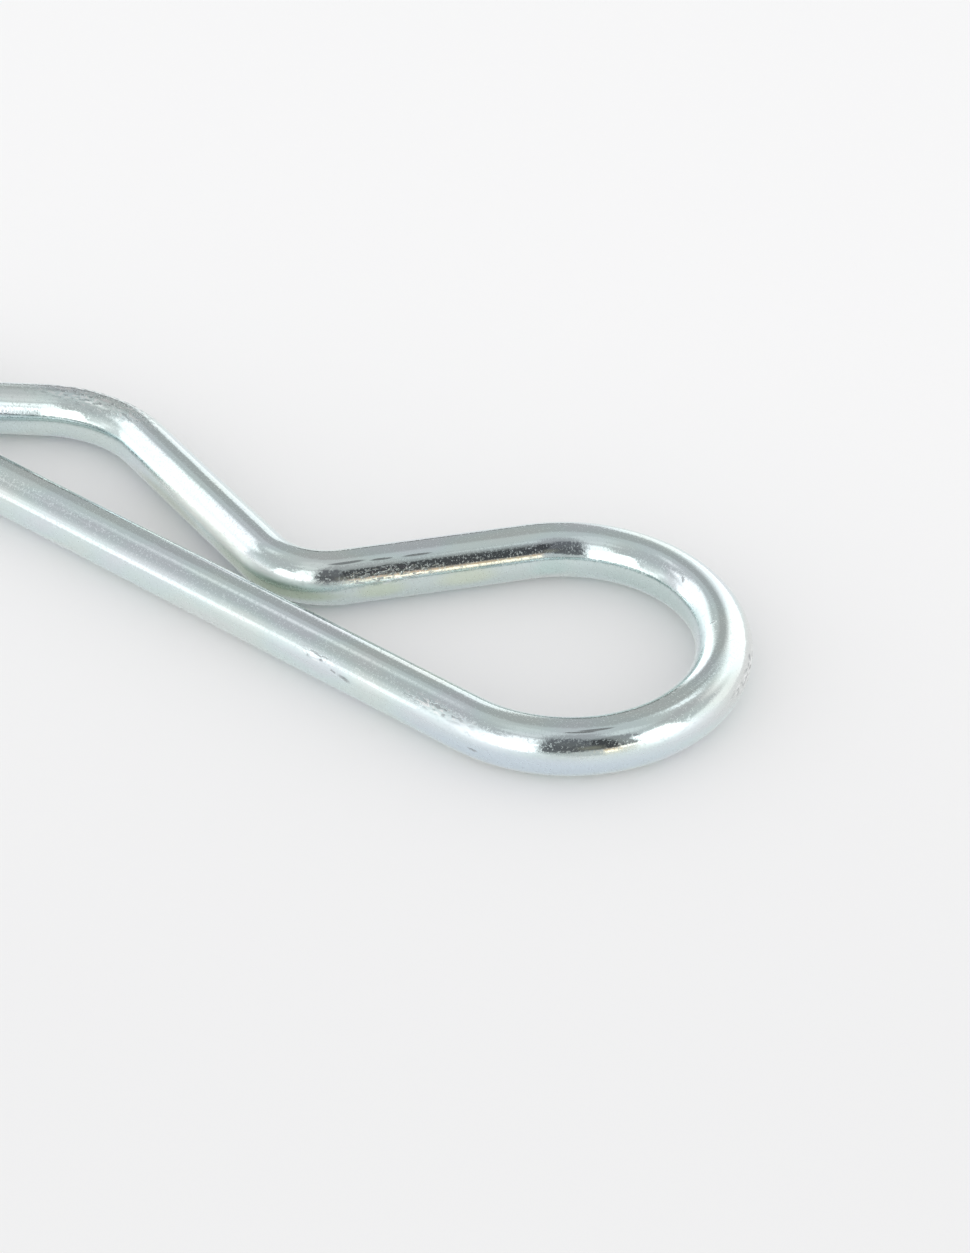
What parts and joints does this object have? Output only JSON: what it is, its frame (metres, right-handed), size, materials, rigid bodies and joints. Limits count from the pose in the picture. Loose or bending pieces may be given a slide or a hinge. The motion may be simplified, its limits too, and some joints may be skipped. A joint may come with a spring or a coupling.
{
  "type": "hitch r clip pin",
  "caption": "R-shaped spring clip bent from round plated wire, with a straight leg, a teardrop eye, a bow that grips a shaft and a flared tip.",
  "frame": {"origin": "on the straight leg's axis, where the axis of the gripped shaft crosses it", "axes": "+X along the straight leg to the eye, +Y from the straight leg to the wavy leg, +Z square to the clip's plane"},
  "size_m": [0.0778, 0.026, 0.004],
  "materials": {
    "zinc_plated_steel": "bright zinc plating with a clear blue passivation"
  },
  "bodies": {
    "root": {"clip": "zinc_plated_steel"}
  },
  "joints": []
}
